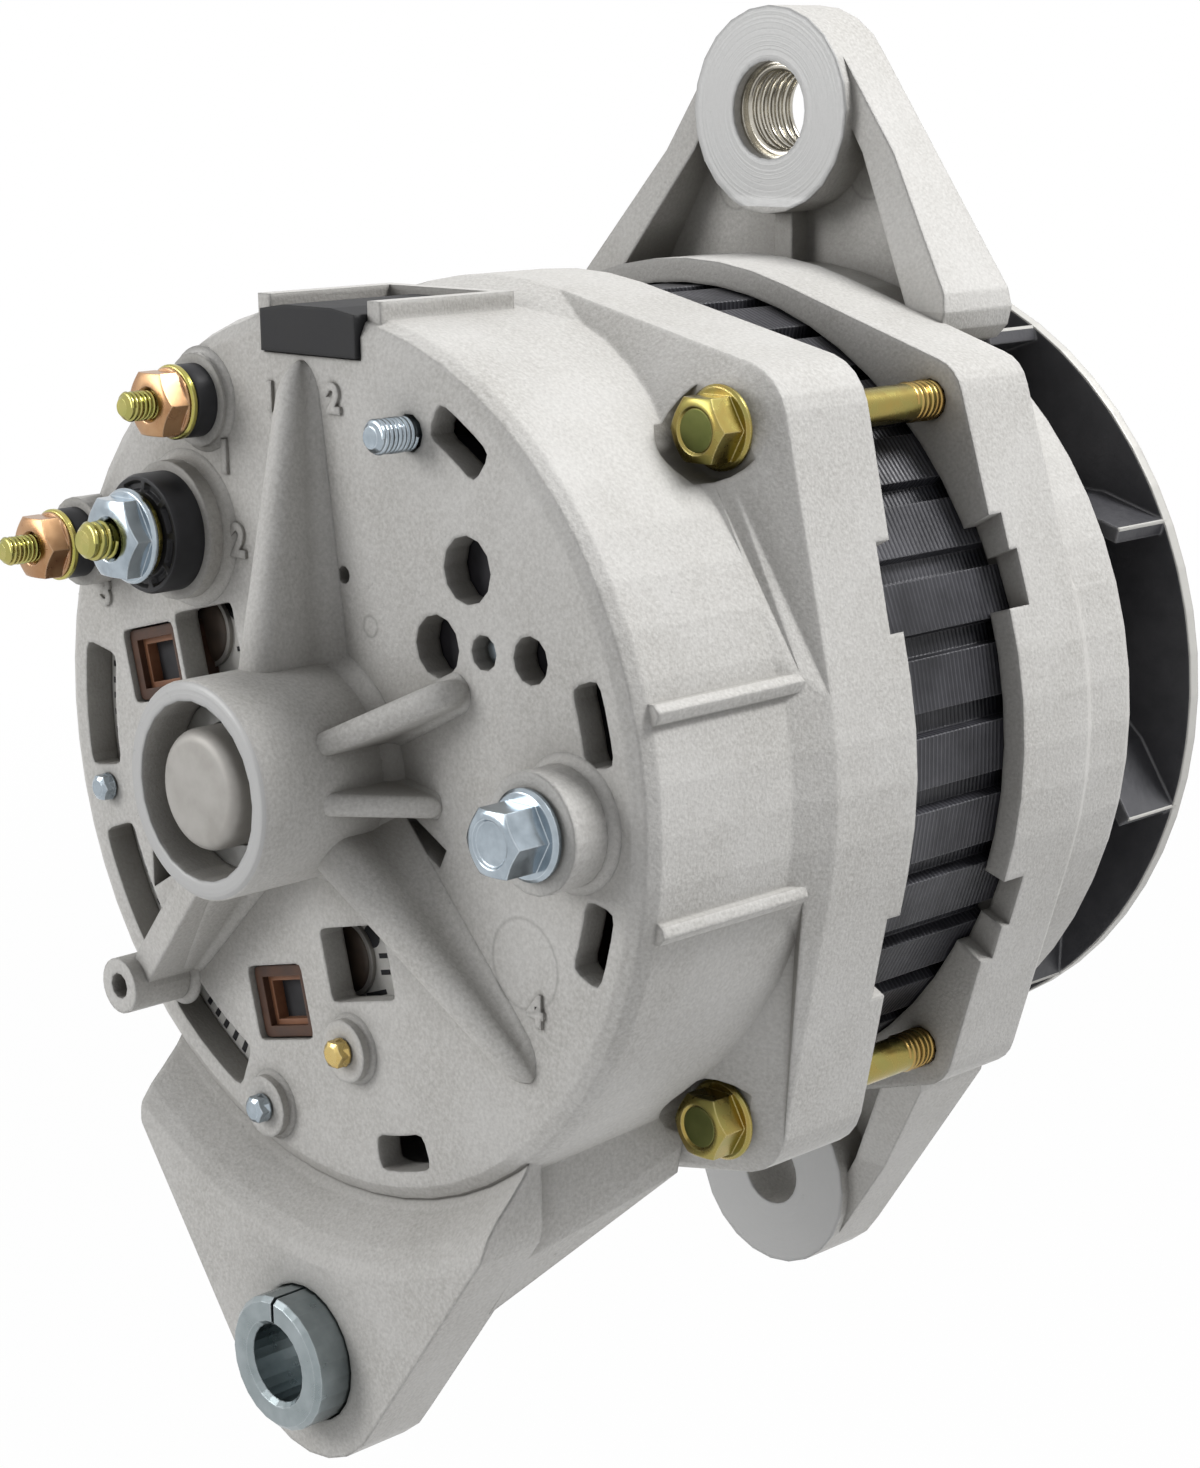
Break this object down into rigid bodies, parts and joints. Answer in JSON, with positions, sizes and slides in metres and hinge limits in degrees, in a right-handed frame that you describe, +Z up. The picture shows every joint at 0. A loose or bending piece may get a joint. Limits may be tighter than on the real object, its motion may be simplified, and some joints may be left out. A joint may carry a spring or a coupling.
{
  "type": "generator alternator head",
  "caption": "Generator alternator head: cast aluminium end frames with hinge lugs and a threaded ear, black laminated stator, rear terminals and cooling fan.",
  "frame": {"origin": "on the hinge bolt's axis, halfway between the rear lug's front face and the drive-end lug's rear face", "axes": "+Y along the shaft and the hinge bolt, from the slip-ring end towards the fan; +Z up from the hinge to the adjusting ear; +X to the right seen from the slip-ring end"},
  "size_m": [0.1466, 0.1908, 0.228],
  "materials": {
    "cast_aluminium": "bead-blasted casting",
    "stator_black": "satin varnish over laminations",
    "copper_winding": "varnished copper wire",
    "machined_steel": "machined",
    "pole_black": "forged, varnished",
    "yellow_zinc": "yellow zinc plate",
    "white_zinc": "blue-white zinc plate",
    "brass": "turned",
    "black_plastic": "moulded",
    "brown_plastic": "moulded",
    "black_rubber": "moulded",
    "carbon": "pressed carbon",
    "fan_black": "satin paint"
  },
  "bodies": {
    "housing": {"sre_frame": "cast_aluminium", "de_frame": "cast_aluminium", "stator_core": "stator_black", "stator_winding": "copper_winding", "front_bearing_outer_race": "machined_steel", "rear_bearing": "machined_steel", "bearing_retainer": "machined_steel", "retainer_screw_1": "machined_steel", "retainer_screw_2": "machined_steel", "retainer_screw_3": "machined_steel", "through_bolt_1": "yellow_zinc", "through_bolt_2": "yellow_zinc", "through_bolt_3": "yellow_zinc", "through_bolt_4": "yellow_zinc", "battery_insulator": "black_plastic", "battery_stud": "brass", "battery_nut": "white_zinc", "indicator_insulator": "black_plastic", "indicator_stud": "brass", "indicator_nut": "brass", "relay_insulator": "black_plastic", "relay_stud": "brass", "relay_nut": "yellow_zinc", "ground_screw": "white_zinc", "cover_stud": "white_zinc", "rectifier_screw": "white_zinc", "regulator_screw_left": "white_zinc", "regulator_screw_lower": "white_zinc", "brass_contact_screw": "brass", "brush_holder": "brown_plastic", "brush_spring_rear": "machined_steel", "brush_spring_front": "machined_steel", "rectifier_bridge": "cast_aluminium", "voltage_regulator": "black_plastic", "regulator_socket_1": "brown_plastic", "regulator_socket_2": "brown_plastic", "diode_trio": "machined_steel", "capacitor": "machined_steel", "rubber_plug": "black_rubber", "ear_insert": "machined_steel"},
    "rotor": {"rotor_shaft": "machined_steel", "rear_pole_segment": "pole_black", "front_pole_segment": "pole_black", "field_coil": "copper_winding", "slip_ring_sleeve": "black_plastic", "slip_ring_rear": "copper_winding", "slip_ring_front": "copper_winding", "front_bearing_inner_race": "machined_steel", "fan": "fan_black", "fan_spacer": "machined_steel", "fan_washer": "machined_steel", "shaft_nut": "machined_steel"},
    "cage": {"ball_cage": "brass"},
    "rear_brush": {"brush_rear": "carbon"},
    "front_brush": {"brush_front": "carbon"},
    "bushing": {"hinge_bushing": "white_zinc"}
  },
  "joints": [
    {"name": "rotor_spin", "type": "hinge", "parent": "housing", "child": "rotor", "pos_m": [0, 0, 0.0958], "axis": [0, 1, 0], "continuous": true},
    {"name": "cage_spin", "type": "hinge", "parent": "housing", "child": "cage", "pos_m": [0, 0.053, 0.0958], "axis": [0, 1, 0], "continuous": true},
    {"name": "rear_brush_slide", "type": "slide", "parent": "housing", "child": "rear_brush", "axis": [0, 0, 1], "range_m": [0, 0.006], "stiffness_N_per_m": 150, "springref_m": -0.01, "deforming": ["brush_spring_rear"]},
    {"name": "front_brush_slide", "type": "slide", "parent": "housing", "child": "front_brush", "axis": [0, 0, 1], "range_m": [0, 0.006], "stiffness_N_per_m": 150, "springref_m": -0.01, "deforming": ["brush_spring_front"]},
    {"name": "bushing_slide", "type": "slide", "parent": "housing", "child": "bushing", "axis": [0, 1, 0], "range_m": [-0.003, 0.006]}
  ],
  "couplings": [
    {"joint": "cage_spin", "follows": "rotor_spin", "ratio": 0.375}
  ]
}
